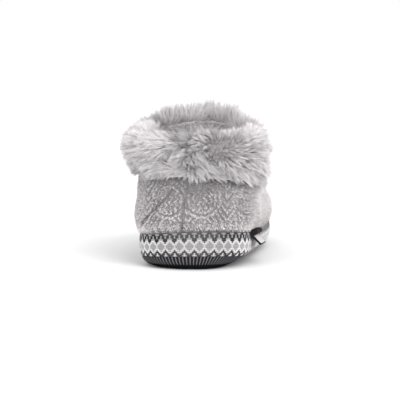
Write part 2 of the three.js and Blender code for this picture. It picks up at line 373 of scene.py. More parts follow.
def pile_finish(name, root, middle, tip, spread):
    """Strands that are dark at the root and paler at the tip, the dark root being painted shade deep in the
    pile, and darkened where the map's tint, random mottle times painted light and shade, is low.
    """
    made, graph, feed = material(name, roughness=0.8, specular=0.1)
    tint, rise = map_parts(graph)
    lower = graph.mix_colour(rise.range(0.0, 0.45), root, middle)
    whole = graph.mix_colour(rise.range(0.35, 1.0), lower, tip)
    feed("Base Color", whole * tint.range(0.0, 1.0, 1 - spread, 1.0))
    return made


def cloth_finish(name, dark, light, grain, bump, roughness=0.95):
    """Plain backing or fleece: mottled at two sizes, with a fine nap."""
    made, graph, feed = material(name, roughness=roughness, sheen=0.15)
    place = graph.node("ShaderNodeTexCoord")["Object"]
    broad, fine = graph.noise(place, 90.0, 3.0), graph.noise(place, grain, 2.0)
    feed("Base Color", graph.mix_colour((broad * 0.5 + fine * 0.5).range(0.3, 0.7), dark, light))
    feed("Normal", graph.dented(fine, bump, 0.6 * MM))
    return made


# Meshes


def placed(points):
    """Millimetres on the last to metres in the frame."""
    return (np.asarray(points).reshape(-1, 3) - MIDDLE) * MM


def mesh_object(name, vertices, faces, finish, is_smooth=True):
    mesh = bpy.data.meshes.new(name)
    mesh.from_pydata(np.asarray(vertices).tolist(), [], faces if isinstance(faces, list) else faces.tolist())
    mesh.materials.append(finish)
    mesh.shade_smooth() if is_smooth else mesh.shade_flat()
    made = bpy.data.objects.new(name, mesh)
    bpy.context.scene.collection.objects.link(made)
    return made


def grid_faces(rows, columns, is_loop):
    """Quads between closed rings of points and, in a loop, from the last ring to the first."""
    r = np.arange(rows if is_loop else rows - 1)[:, None]
    c = np.arange(columns)[None, :]
    high, on = (r + 1) % rows, (c + 1) % columns
    corners = r * columns + c, r * columns + on, high * columns + on, high * columns + c
    return np.stack(corners, -1).reshape(-1, 4)


def loft(name, rings, finish, is_loop=True, caps=False):
    rings = np.asarray(rings)
    rows, columns = rings.shape[:2]
    faces = grid_faces(rows, columns, is_loop).tolist()
    if caps:
        half = columns // 2
        for base in (0, (rows - 1) * columns):
            for s in range(half):
                corners = s, s + 1, (columns - s - 1) % columns, (columns - s) % columns
                faces.append(list(dict.fromkeys(base + corner for corner in corners)))
    made = mesh_object(name, placed(rings), faces, finish)
    face_out(made)
    return made


def face_out(made):
    """Faces point outwards."""
    work = bmesh.new()
    work.from_mesh(made.data)
    bmesh.ops.recalc_face_normals(work, faces=work.faces)
    work.to_mesh(made.data)
    work.free()


def give(made, name, values):
    """A number or a vector for every vertex."""
    values = np.asarray(values, np.float32)
    is_vector = values.ndim > 1
    layer = made.data.attributes.new(name, "FLOAT_VECTOR" if is_vector else "FLOAT", "POINT")
    layer.data.foreach_set("vector" if is_vector else "value", values.ravel())


def ride(made, slot, *nodes):
    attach(made, "root")
    if nodes:
        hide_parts(*nodes)


# Pile: strands grown on a surface by Geometry Nodes


def blade(name, rises):
    """One strand, flat and tapering to a point; side and rise are read from it when it is bent."""
    widths = [1 - 0.45 * rise for rise in rises[:-1]]
    vertices = [(side * width, 0, rise) for rise, width in zip(rises, widths) for side in (-1, 1)]
    vertices.append((0, 0, rises[-1]))
    faces = [[2 * i, 2 * i + 1, 2 * i + 3, 2 * i + 2] for i in range(len(rises) - 2)]
    tip = 2 * (len(rises) - 1)
    faces.append([tip - 2, tip - 1, tip])
    mesh = bpy.data.meshes.new(name)
    mesh.from_pydata(vertices, [], faces)
    made = bpy.data.objects.new(name, mesh)
    give(made, "side", [v[0] for v in vertices])
    give(made, "rise", [v[2] for v in vertices])
    return made


PILE_INPUTS = {
    "NodeSocketGeometry": "Surface",
    "NodeSocketFloat": "Strands per m2, Width, Small lock, Large lock, Small pull, Large pull, "
    "Stray, Lock stray, Uneven, Mottle, Wave, Wave size",
    "NodeSocketInt": "Seed",
    "NodeSocketObject": "Strand",
}
# What a surface says of its pile vertex by vertex, and what a strand carries from its root.
GUIDES = ("comb", "stand", "reach", "thick", "tuft", "tone")
CARRIED = ("root", "start", "end", "gather", "across", "tint")


def pile_tree(finish):
    """Scatters strands, leans them along the comb, gathers them into locks and places them on the map."""
    tree = bpy.data.node_groups.new("pile of " + finish.name, "GeometryNodeTree")
    for kind, names in PILE_INPUTS.items():
        for name in names.split(", "):
            tree.interface.new_socket(name=name, in_out="INPUT", socket_type=kind)
    tree.interface.new_socket(name="Pile", in_out="OUTPUT", socket_type="NodeSocketGeometry")
    graph = Graph(tree)
    size = graph.node("NodeGroupInput")
    seed = size["Seed"]
    density = size["Strands per m2"] * graph.attribute("thick")
    values = {"Mesh": size["Surface"], "Density": density, "Seed": seed}
    scatter = graph.node("GeometryNodeDistributePointsOnFaces", {"distribute_method": "RANDOM"}, values)
    points, normal = scatter["Points"], scatter["Normal"]
    root = graph.node("GeometryNodeInputPosition")["Position"]
    tuft = graph.attribute("tuft")

    def lock(width, pull):
        """The way along the surface to the middle of a strand's lock, and the lock's chance values."""
        cell = graph.node("ShaderNodeTexVoronoi", {"feature": "F1"}, {"Vector": root, "Scale": 1.0 / width})
        away = cell["Position"] - root
        return (away - normal * away.dot(normal)) * (pull * tuft), cell["Color"] - (0.5, 0.5, 0.5)

    small, small_chance = lock(size["Small lock"], size["Small pull"])
    large, large_chance = lock(size["Large lock"], size["Large pull"])
    stray = graph.chance_vector(1.0, seed) * size["Stray"]
    own = (small_chance + large_chance * 1.2) * (size["Lock stray"] * tuft)
    comb = graph.attribute("comb", "FLOAT_VECTOR") + stray + own
    flow = comb - normal * comb.dot(normal)
    stand = graph.attribute("stand") + graph.chance(-0.1, 0.1, seed + 3.0)
    uneven = (small_chance.dot((0.0, 1.0, 0.0)) + large_chance.dot((1.0, 0.0, 0.0))) * size["Uneven"]
    long = graph.attribute("reach") * graph.chance(0.74, 1.06, seed + 5.0) * (uneven + 1.0) * MM
    start = (normal * (stand + 0.15) + flow * (1.0 - stand)).unit() * long
    droop = (0.0, 0.0, -0.06)
    end = (normal * (stand * 0.75 - 0.05) + flow * (1.1 - stand * 0.7) + droop).unit() * long
    roll = normal * graph.chance(-0.5, 0.5, seed + 7.0)
    across = (flow.cross(normal) + roll + stray * 0.3).unit() * size["Width"]
    tint = graph.chance(0.0, 0.5, seed + 9.0) + (small_chance.dot((1.0, 1.0, 1.0)) + 1.5) * 0.167
    # A strand's tint: random mottle, times the surface's painted light and shade.
    tint = (1.0 - (1.0 - tint) * size["Mottle"]) * graph.attribute("tone")
    for name, value in zip(CARRIED, (root, start, end, small + large, across, tint)):
        points = graph.store(points, name, value, "FLOAT_VECTOR" if value.is_vector else "FLOAT")
    strand = graph.node("GeometryNodeObjectInfo", {}, {"Object": size["Strand"]})["Geometry"]
    values = {"Points": points, "Instance": strand}
    grown = graph.node("GeometryNodeInstanceOnPoints", {}, values)["Instances"]
    grown = graph.node("GeometryNodeRealizeInstances", {}, {"Geometry": grown})["Geometry"]
    rise, side = graph.attribute("rise"), graph.attribute("side")
    root, start, end, gather, across = (graph.attribute(name, "FLOAT_VECTOR") for name in CARRIED[:5])
    half = rise * rise * 0.5
    bent = root + start * (rise - half) + end * half
    noise = graph.noise(root, 1.0 / size["Wave size"], 1.0, "Color")
    bent = bent + gather * (rise**1.4) + (noise - (0.5, 0.5, 0.5)) * (size["Wave"] * rise)
    place = bent + across * side
    grown = graph.node("GeometryNodeSetPosition", {}, {"Geometry": grown, "Position": place})["Geometry"]
    u = graph.attribute("tint") * 0.9 + side * 0.01 + 0.05
    spot = graph.node("ShaderNodeCombineXYZ", {}, {"X": u, "Y": rise * 0.96 + 0.02})["Vector"]
    grown = graph.store(grown, PILE_MAP, spot, "FLOAT2", "CORNER")
    grown = graph.node("GeometryNodeSetMaterial", {}, {"Geometry": grown, "Material": finish})["Geometry"]
    graph.node("NodeGroupOutput", {}, {"Pile": grown})
    return tree


def seed_bed(name, points, outward, guides):
    """A grid that only carries pile: open rows of points, with the pile's guides at each."""
    rows, columns = points.shape[:2]
    faces = grid_faces(rows, columns, False).reshape(rows - 1, columns, 4)[:, :-1].reshape(-1, 4)
    bed = mesh_object(name, placed(points), faces, bpy.data.materials[0])
    if bed.data.polygons[0].normal.dot(Vector(outward[0, 0])) < 0:
        bed.data.flip_normals()
    for key in GUIDES:
        values = np.asarray(guides[key], float)
        shape = (rows, columns, 3) if key == "comb" else (rows, columns)
        give(bed, key, np.broadcast_to(values, shape).reshape((-1,) + shape[2:]))
    return bed


def clear_away(*helpers):
    for helper in helpers:
        bpy.data.meshes.remove(helper.data)


def grow(name, slot, points, outward, guides, tree, strand, **sizes):
    """The pile on a grid of points, as a plain mesh."""
    surface = seed_bed(name + " bed", points, outward, guides)
    modifier = surface.modifiers.new("pile", "NODES")
    modifier.node_group = tree
    values = {"Strand": strand, **{key.replace("_", " "): value for key, value in sizes.items()}}
    for item in tree.interface.items_tree:
        if item.in_out == "INPUT" and item.name in values:
            modifier[item.identifier] = values[item.name]
    surface.data.update()
    bpy.context.view_layer.update()
    evaluated = surface.evaluated_get(bpy.context.evaluated_depsgraph_get())
    mesh = bpy.data.meshes.new_from_object(evaluated)
    surface.modifiers.remove(modifier)
    clear_away(surface)
    mesh.name = name
    for helper in GUIDES + CARRIED + ("rise", "side"):
        if helper in mesh.attributes:
            mesh.attributes.remove(mesh.attributes[helper])
    mesh.shade_smooth()
    made = bpy.data.objects.new(name, mesh)
    bpy.context.scene.collection.objects.link(made)
    ride(made, slot)


def near_line(x, z, line):
    """Distance to a line through points, in the plane seen from behind, mm."""
    best = np.full(np.shape(x), 1e9)
    for (x0, z0), (x1, z1) in zip(line[:-1], line[1:]):
        dx, dz = x1 - x0, z1 - z0
        t = np.clip(((x - x0) * dx + (z - z0) * dz) / (dx * dx + dz * dz), 0, 1)
        best = np.minimum(best, np.hypot(x - x0 - t * dx, z - z0 - t * dz))
    return best


def bump(distance, width):
    return np.exp(-((distance / width) ** 2))


def along_grid(points):
    """Unit ways down the rows and along the columns, and the grid's steps in mm."""
    down = np.gradient(points, axis=0)
    around = (np.roll(points, -1, axis=1) - np.roll(points, 1, axis=1)) / 2
    around[:, 0], around[:, -1] = around[:, 1], around[:, -2]
    steps = [np.maximum(np.linalg.norm(way, axis=-1), 1e-6) for way in (down, around)]
    return unit(down), unit(around), *steps


# Upper: cloth with soft creases and a wave embossed in short pile

HEEL_SEAM = ((0.9, 76), (-1.9, 58), (-3.9, 47), (-5.4, 29))  # seen from behind, x and height
HEEL_CREASE = ((-13, 66), (-16.6, 60), (-21.1, 55.5), (-31, 46.5), (-41, 36))
RIGHT_CREASE = ((34, 74), (38, 62), (40, 52))
# The plush's bulges behind: their middle and size as seen from behind, and how far they stand out.
SWELLS = ((12, 55, 11, 12, 1.4), (-16, 50, 8, 9, 1.0), (-24, 38, 10, 6, 0.7))
MOTIF = table("first pitch", (12.0, (HALF_ROUND - 12) / 7), (16.0, (HALF_ROUND - 16) / 7))
MOTIF_FOOT, MOTIF_TALL = 10, 35
TOP_PITCH = 40
LINE_GAP = 4.4
RELIEF = 1.4  # how deep the embossed lines are
PILE_DEPTH = 1.7  # how far the plush's cloth lies under its outline
PILE_START, PILE_END = 0.012, 0.86  # the levels between which the upper carries pile


def parted(phase, gap=LINE_GAP, width=0.85):
    """1 on the lines where the pile parts, a gap apart, 0 between."""
    return bump(np.abs((phase / gap + 0.5) % 1.0 - 0.5) * gap, width)


def wave_motif(place, height):
    """The embossed motif round one middle: wavy upright lines in an oval, rings round it, slants beyond."""
    oval = np.hypot(place, height * 1.06)
    turn = np.arctan2(height, place)
    inner = parted(place + 1.0 * np.sin(height * 2 * math.pi / 5.2))
    rings = parted(oval + 0.5 * np.sin(turn * 15))
    slants = parted(np.abs(place) * 0.8 + height * 0.62, 4.0)
    body = mix(inner, rings, smooth(oval, 9.5, 11.5))
    return mix(body, slants, smooth(oval, 16, 18))


def emboss(run, height):
    """Where the plush parts on a side: motifs in rows, over a row of small arches at the band."""
    side = (np.sin(run * math.pi / HALF_ROUND) < 0).astype(int)
    row = np.floor((height - MOTIF_FOOT) / MOTIF_TALL)
    pitch = MOTIF["pitch"][side]
    place = np.abs(run) - MOTIF["first"][side] + pitch * 0.5 * (row % 2)
    place = (place + pitch / 2) % pitch - pitch / 2
    body = wave_motif(place, (height - MOTIF_FOOT) % MOTIF_TALL - MOTIF_TALL / 2)
    arch = 6.5 * np.abs(np.sin(math.pi * run / 7.2)) ** 0.8
    arches = parted(height - 1.8 - arch, 3.4, 0.7)
    return mix(arches, body, smooth(height, 7.5, 10))


def emboss_flat(x, y):
    """The same on top of the foot."""
    half = TOP_PITCH / 2
    row = np.floor(y / MOTIF_TALL)
    place = (x + half * (row % 2) + half) % TOP_PITCH - half
    return wave_motif(place, y % MOTIF_TALL - MOTIF_TALL / 2)


def upper_relief(level, turn, point, normal):
    """How far the plush stands out of its plain form, with its lines, seam, crease, smooth flank and fold."""
    x, z = point[..., 0] - MIDDLE[0], point[..., 2]
    behind = smooth(-point[..., 1], -60, -25)
    height = z - seam(point[..., 1], turn)
    split = bump(near_line(x, z, HEEL_SEAM), 0.9) * behind
    crease = bump(near_line(x, z, HEEL_CREASE), 1.1) * behind
    right = bump(near_line(x, z, RIGHT_CREASE), 4.0) * behind
    flank = behind * smooth(-(x + (z - 36) * 0.93), 38.5, 41)
    top = smooth(normal[..., 2], 0.55, 0.8) * (1 - behind)
    lines = mix(emboss(arc(turn), height), emboss_flat(x, point[..., 1]), top)
    lines = lines * (1 - 0.85 * flank) * mix(0.5, 1.0, behind)
    swells = behind * sum(
        out * bump(np.hypot((x - x0) / wide, (z - z0) / tall), 1) for x0, z0, wide, tall, out in SWELLS
    )
    bulge = bump((level - 0.58) / 0.07, 1) * outerness(turn)
    depth = swells + 2.2 * bulge - 1.5 * split - 1.9 * crease - 1.0 * right
    return depth, lines, split, crease, flank, bulge


def upper_cloth():
    columns = 260
    turns = np.arange(columns) / columns
    level, turn = np.meshgrid(np.linspace(0, 1, 44), turns, indexing="ij")
    point, normal = upper_point(level, turn), upper_normal(level, turn)
    depth = upper_relief(level, turn, point, normal)[0]
    edge = smooth(level, 0.0, 0.03) * (1 - smooth(level, 0.97, 1.0))
    outside = point + normal * (depth * edge - PILE_DEPTH * smooth(level, -0.01, 0.05))[..., None]
    inner_level, inner_turn = np.meshgrid(np.linspace(1, 0, 26), turns, indexing="ij")
    nap = np.random.default_rng(11).normal(0, 0.25, inner_level.shape)
    inside = off_upper(inner_level, inner_turn, 0.2 + nap - column(UPPER, "wall", inner_level))
    # The plush's backing cloth; its near-black colour is painted shade showing where the pile parts.
    backing = cloth_finish("plush backing", (0.11, 0.105, 0.11), (0.22, 0.21, 0.215), 900.0, 0.6)
    fleece = cloth_finish("fleece lining", (0.6, 0.576, 0.582), (0.78, 0.75, 0.757), 420.0, 1.0)
    cloth = loft("upper_cloth", np.concatenate([outside, inside]), backing)
    cloth.data.materials.append(fleece)
    rows = np.arange(len(cloth.data.polygons)) // columns
    cloth.data.polygons.foreach_set("material_index", (rows >= len(level) - 1).astype(np.int32))
    ride(cloth, "plush", "upper")


SHORT_PILE = dict(Small_lock=1.3 * MM, Large_lock=4.0 * MM, Small_pull=0.35, Large_pull=0.03, Stray=0.14)
SHORT_PILE |= dict(Lock_stray=0.15, Uneven=0.08, Mottle=0.18, Wave=0.4 * MM, Wave_size=5 * MM)


def upper_pile(name, first, last, columns, rows, strands, tree, strand, seed):
    """Short pile between two turns of the upper, from the band to under the cuff."""
    levels, turns = np.linspace(PILE_START, PILE_END, rows), np.linspace(first, last, columns)
    level, turn = np.meshgrid(levels, turns, indexing="ij")
    point, normal = upper_point(level, turn), upper_normal(level, turn)
    depth, lines, split, crease, flank, bulge = upper_relief(level, turn, point, normal)
    height = point[..., 2] - seam(point[..., 1], turn)
    foot = smooth(height, 0.0, 3.5)
    bed = point + normal * (depth - RELIEF * lines - PILE_DEPTH * foot)[..., None]
    up, around, up_step, around_step = along_grid(bed)
    partings = np.minimum(lines + split + crease, 1)
    away = around * (np.gradient(partings, axis=1) / around_step)[..., None]
    away = (away + up * (np.gradient(partings, axis=0) / up_step)[..., None]) * -1
    z = bed[..., 2]
    behind = smooth(-bed[..., 1], -100, -40)
    sway = np.sin(arc(turn) / 5.5 + 1.1 * np.sin(z / 6.0)) * 0.06
    comb = up * (-0.5 * foot)[..., None] + around * sway[..., None] + away * 1.5
    cut = (1 - 0.85 * lines) * (1 - 0.7 * split) * (1 - 0.5 * crease)
    bare = (1 - 0.96 * split) * (1 - 0.6 * crease) * (1 - 0.6 * lines)
    guides = {
        "comb": comb,
        "stand": mix(mix(0.9, 0.7, foot), 0.5, flank),
        "reach": 2.6 * cut * mix(0.35, 1.0, foot) * (1 + 0.7 * bulge),
        "thick": (1 - smooth(level, PILE_END - 0.04, PILE_END)) * bare,
        "tuft": 1 - 0.6 * flank,
        # Painted shade: strands darker in the embossed lines, the heel crease and seam, and ahead of the
        # heel, where it offsets the lamps lighting the sides more strongly.
        "tone": (1 - lines) * (1 - 0.85 * crease) * (1 - 0.9 * split) * (0.7 + 0.3 * behind),
    }
    sizes = dict(Strands_per_m2=strands, Width=0.37 * MM / (strands / 1e6) ** 0.5, Seed=seed, **SHORT_PILE)
    grow(name, "plush", bed, normal, guides, tree, strand, **sizes)


def build_upper():
    upper_cloth()
    # Root, middle and tip colours; the dark root is painted shade deep in the pile.
    colours = (0.52, 0.497, 0.502), (0.78, 0.745, 0.752), (0.88, 0.847, 0.854)
    finish = pile_finish("plush pile", *colours, 0.85)
    tree = pile_tree(finish)
    strand = blade("short strand", (0.0, 0.55, 1.0))
    upper_pile("upper_pile_heel", -0.24, 0.26, 620, 170, 3.6e6, tree, strand, 4)
    upper_pile("upper_pile_vamp", 0.26, 0.76, 560, 150, 1.5e6, tree, strand, 9)
    clear_away(strand)


# Cuff: a folded band of long pile

RIM = table(
    "share out up",
    (0, -8.2, 1.2),
    (0.2, -9.0, 3.2),
    (0.45, -6.2, 5.6),
    (0.7, -1.5, 5.9),
    (1, 2.6, 3.2),
)
LINING_OUT = 0.95  # how far the cuff's lining lies off the upper, mm
# Locks of the cuff's back as seen from behind: their middle and size, where the pile is combed, how far
# it stands, its length, how tightly it gathers, its painted light (above 1 painted highlight, below 1 painted
# shade), and how far the band under it bulges. Mm.
LOCKS = table(
    "x z across tall side down stand reach tuft tone swell",
    (-50, 98, 12, 9, -0.8, 0, 0.65, 15, 0.8, 0.8, 1),
    (-46, 111, 12, 6, -0.9, 0.1, 0.5, 9.5, 0.8, 0.9, 0),
    (-50, 86, 12, 6, -0.7, 0.5, 0.5, 12, 0.9, 0.77, 0),
    (-50, 77, 16, 5, -0.2, 0.9, 0.3, 6, 0.9, 0.8, -1),
    (-27, 107, 16, 7, -1, 0.15, 0.4, 10, 0.9, 1.15, 4),
    (-5, 109, 16, 6, -1, 0.12, 0.36, 10, 0.9, 1.15, 5),
    (16, 107, 10, 7, -1, 0.15, 0.4, 10, 0.9, 1, 4),
    (-30, 93, 13, 8, -0.9, 0.45, 0.5, 9, 0.9, 0.82, 1),
    (-6, 95, 9, 5, -0.8, 0.7, 0.35, 7, 1.1, 0.6, -3),
    (-14, 87, 8, 4, -0.9, 0.6, 0.35, 7, 1.1, 0.75, -2),
    (5, 88, 7, 7, 0.8, 0.8, 0.45, 9, 1, 0.68, 0),
    (15, 87, 4, 6, 0.6, 0.9, 0.35, 7, 1.2, 0.75, -1.5),
    (39, 95, 12, 13, 0, -0.1, 1, 7, 1, 1.25, 4),
    (25, 95, 8, 10, -0.1, -0.1, 1, 7, 1, 1.2, 3),
    (58, 95, 8, 20, 0.8, 0.35, 0.62, 13.5, 1, 1, 0.5),
    (-16, 80, 18, 4, -1, 0.2, 0.45, 9, 0.9, 0.8, 2.5),
    (25, 79, 11, 6, 0.8, 0.9, 0.5, 9, 1.2, 0.65, 0),
    (60, 80, 8, 8, 0.5, 0.8, 0.6, 14, 1.1, 0.85, 0),
    (45, 77, 12, 7, 0.7, 1.1, 0.55, 12, 1.1, 0.85, 1),
    (-42, 80, 10, 5, -0.4, 0.6, 0.5, 7, 0.8, 0.85, -1),
)

# Hollows and folds in the cuff's fur, seen from behind: their lines, width in mm and depth; the depth also
# darkens the pile there as painted shade.
HOLLOWS = (
    (((3, 99.5), (-6, 94), (-17, 89)), 3.3, 1.0),
    (((-17, 87), (-8, 84), (2.8, 83)), 1.6, 0.8),
    (((13, 97), (21, 86)), 2.0, 1.0),
    (((47.6, 82), (49.6, 82)), 2.0, 0.8),
    (((-29, 104.5), (-17, 105.3), (-5.2, 102), (1.2, 98)), 1.0, 0.55),
    (((-34, 119), (-25, 115.5), (-16, 117)), 1.4, 0.7),
    (((-17, 79), (-10.7, 76)), 1.3, 0.6),
    (((22, 80), (31, 76)), 1.4, 0.6),
)


def hem(turn):
    step = np.abs((turn + 0.5) % 1.0 - 0.5) * 2
    return mix(HEM_BACK, HEM_FRONT, (1 - np.cos(math.pi * step)) / 2) - HEM_DROP * outerness(turn)


def cuff_rings(turns):
    """The cuff's band from inside the collar over the rim and down to the hem, and its lining back up."""
    top = upper_point(1.0, turns)
    flat = upper_normal(1.0, turns, flat=True)
    sag = 0.42 * outerness(turns) + 0.12 * outerness(-turns)  # how much flatter the roll is at the sides

    def collar(out, up):
        point = top + flat * out
        point[:, 2] = top[:, 2] + up * (1 - sag)
        return point

    rim = [collar(column(RIM, "out", s), column(RIM, "up", s)) for s in np.linspace(0, 1, 16)]
    skirt, lining = [], []
    for share in np.linspace(0.0, 1, 22):
        level = mix(1, hem(turns), share)
        skirt.append(off_upper(level, turns, 3.2 - 1.4 * share, flat=share == 0))
        lining.append(off_upper(level, turns, LINING_OUT))
    return np.array(rim + skirt[1:]), np.array(lining[::-1] + [collar(LINING_OUT, 1.0)]), len(rim)


def cuff_guides(rings, turns, rim_rows):
    """How the pile lies over the cuff, and how far the band under it bulges."""
    x, y, z = rings[..., 0] - MIDDLE[0], rings[..., 1], rings[..., 2]
    behind = smooth(-y, -85, -55)
    q = np.arange(len(rings))[:, None] / (len(rings) - 1) * np.ones(len(turns))
    rim_end = (rim_rows - 1) / (len(rings) - 1)
    lock = {key: LOCKS[key][:, None, None] for key in LOCKS}
    weight = bump(np.hypot((x - lock["x"]) / lock["across"], (z - lock["z"]) / lock["tall"]), 1.05)
    over = q / rim_end - mix(0.3, 0.1, smooth(np.abs(x), 25, 38))
    weight = weight * behind * smooth(over, 0.0, 0.3)
    plain = 0.06
    total = weight.sum(0) + plain

    def blend(key, rest):
        return (np.sum(weight * lock[key], 0) + plain * rest) / total

    down, around, _, _ = along_grid(rings)
    inside = 1 - smooth(q, rim_end * 0.2, rim_end * 0.6)
    low = smooth(q, 0.86, 1.0)
    ahead = smooth(y, 20, 60)
    wander = 0.5 * np.sin(turns * 2 * math.pi * 5 + 1.0) + 0.3 * np.sin(turns * 2 * math.pi * 13)
    side = blend("side", mix(wander, mix(-0.5, 0.6, smooth(x, 15, 35)), behind))
    hollow = sum(depth * bump(near_line(x, z, line), wide) for line, wide, depth in HOLLOWS)
    hollow = np.minimum(hollow, 1) * smooth(-y, -40, -20) * smooth(q, rim_end * 0.45, rim_end * 0.7)
    shoulder = mix(18.5, np.where(x < 0, 13, 10), smooth(np.abs(x + 1), 12, 42))
    on_rim = mix(mix(9, 13, smooth(np.abs(x), 22, 36)), shoulder, smooth(y, 15, 60))
    rest = mix(on_rim, 14, smooth(q, rim_end * 0.8, rim_end * 1.4))
    fall = blend("down", mix(0.1, 0.6, smooth(q, rim_end, 0.7)))
    hung = (1 - smooth(q, rim_end * 0.08, rim_end * 0.3)) * smooth(y, 0, 30)
    over = fall + 0.2 * low + mix(1.2, -1.4, hung) * inside
    comb = around * (side * (1 - 0.5 * low))[..., None] + down * over[..., None]
    hem_cut = mix(1, mix(0.55, 1, smooth(x, 12, 36)), low)
    guides = {
        "comb": comb,
        "stand": mix(blend("stand", mix(0.9, 0.5, smooth(q, rim_end, 0.8))), 0.55, inside),
        "reach": blend("reach", rest) * hem_cut * mix(1, 0.85, inside) * (1 - 0.6 * hollow),
        "thick": q < 0.93,
        "tuft": blend("tuft", 1.0),
        # Painted light and shade: each lock's own, else 0.95 behind and 0.87 ahead, darker at the hem and
        # dark in the hollows.
        "tone": blend("tone", mix(0.95, 0.87, ahead)) * mix(1, 0.9, low) * (1 - 0.95 * hollow),
    }
    return guides, (np.sum(weight * lock["swell"], 0) - 4.5 * hollow) * (1 - low)


def swollen(turns):
    """The cuff's outer rows with its locks' bulges, their outward ways, its lining and the pile's guides."""
    outer, lining, rim_rows = cuff_rings(turns)
    guides, swell = cuff_guides(outer, turns, rim_rows)
    down, around, _, _ = along_grid(outer)
    outward = unit(np.cross(around, down))
    outward *= np.sign(np.sum(outward[rim_rows + 3] * upper_normal(1.0, turns)))
    return outer + outward * swell[..., None], outward, lining, guides


LONG_PILE = dict(Width=0.15 * MM, Small_lock=1.9 * MM, Large_lock=6.5 * MM, Small_pull=0.95, Large_pull=0.1)
LONG_PILE |= dict(Stray=0.1, Lock_stray=0.42, Uneven=0.45, Mottle=0.45, Wave=1.8 * MM, Wave_size=5 * MM)


def build_cuff():
    outer, _, lining, _ = swollen(collar_turns(-0.5, 0.5, 301)[:-1])
    backing = cloth_finish("cuff backing", (0.42, 0.402, 0.408), (0.56, 0.537, 0.543), 700.0, 0.6)
    band = loft("cuff_backing", np.concatenate([outer, lining]), backing)
    ride(band, "long_fur", "cuff")

    # Root, middle and tip colours; the dark root is painted shade deep in the pile.
    colours = (0.4, 0.382, 0.386), (0.61, 0.585, 0.592), (0.71, 0.685, 0.692)
    finish = pile_finish("long pile", *colours, 0.65)
    tree = pile_tree(finish)
    strand = blade("long strand", (0.0, 0.38, 0.72, 1.0))
    for name, first, last, count, strands, seed in (
        ("cuff_pile_inner", -0.26, 0.0, 260, 5.2e6, 20),
        ("cuff_pile_outer", 0.0, 0.26, 260, 5.2e6, 51),
        ("cuff_pile_instep", 0.26, 0.74, 300, 3.8e6, 113),
    ):
        outer, outward, _, guides = swollen(collar_turns(first, last, count))
        sizes = dict(Strands_per_m2=strands, Seed=seed, **LONG_PILE)
        grow(name, "long_fur", outer, outward, guides, tree, strand, **sizes)
    clear_away(strand)


# Knit band: stranded stockinette, one V to a stitch

CHART = (  # from the top; columns from a diamond's middle to the crossing. c charcoal, w white, g light grey
    "ccgg",
    "gccg",
    "gccg",
    "ggcc",
    "wwcc",
    "gwwc",
    "ggww",
    "gggw",
    "gggw",
    "ggww",
    "gwwc",
    "wwcc",
    "gccw",
    "ccgw",
)
REPEAT = 6
REPEAT_LENGTH = 8.0
FIRST_DIAMOND = 1.1  # how far the first diamond's middle lies from the heel's, mm
YARNS = {"c": 0.1, "g": 0.5, "w": 0.9}
THICK = {"c": 0.26, "g": 0.23, "w": 0.28}  # a leg's radius as a share of the stitch
LEG_MAP = ((-0.01, 0.0), (-0.01, 0.5), (0.01, 0.5), (0.01, 0.0))  # where a leg's face lies on the yarn's map
STITCH_OVERLAP = 0.62
BAND_TUCK = 3


def yarn_finish():
    made, graph, feed = material("stranded yarn", roughness=0.9, sheen=0.2)
    u, v = map_parts(graph)
    pale = graph.mix_colour(u.range(0.3, 0.4), (0.022, 0.02, 0.024), (0.43, 0.416, 0.421))
    colour = graph.mix_colour(u.range(0.6, 0.7), pale, (0.74, 0.733, 0.738))
    # Painted shade: faces at the lower end of each leg are darker, down to 0.82 of the yarn's colour.
    feed("Base Color", colour * v.range(0.0, 1.0, 0.82, 1.0))
    return made


def stitch_leg(low, high, outward, radius, lean):
    """A strand of yarn from low to high as a closed spindle of three sides: its points and faces."""
    way = unit(high - low)
    wide = unit(np.cross(way, outward))
    points = [low - outward * 0.2, high - outward * 0.15]
    for share in (0.18, 0.8):
        middle = mix(low, high, share) + wide * lean
        for angle in (90, 210, 330):
            a = math.radians(angle)
            rise = math.sin(a) * radius * 1.1 + 0.2
            points.append(middle + wide * math.cos(a) * radius + outward * rise)
    faces = []
    for k in range(3):
        one, two = 2 + k, 2 + (k + 1) % 3
        faces += [[0, one, two], [one, one + 3, two + 3, two], [1, two + 3, one + 3]]
    return points, faces


def band_points(turns, share, out=0.0):
    """The knit band's face, share running from its foot to the seam, a distance outside it."""
    foot = lambda along, turn: edge(along, turn) + GAP
    height = lambda along, turn: mix(foot(along, turn), seam(along, turn), share)
    points = inset_ring(turns, np.interp(share, (0, 0.15, 0.55, 1), (0.6, 0.1, -0.9, -0.3)) - out, height)
    above = points[:, 2] - foot(points[:, 1], turns)
    points[:, 0] -= BAND_TUCK * (1 - smooth(above, -1.5, 3.6)) * outerness(turns) ** OUTER_TUCK
    return points


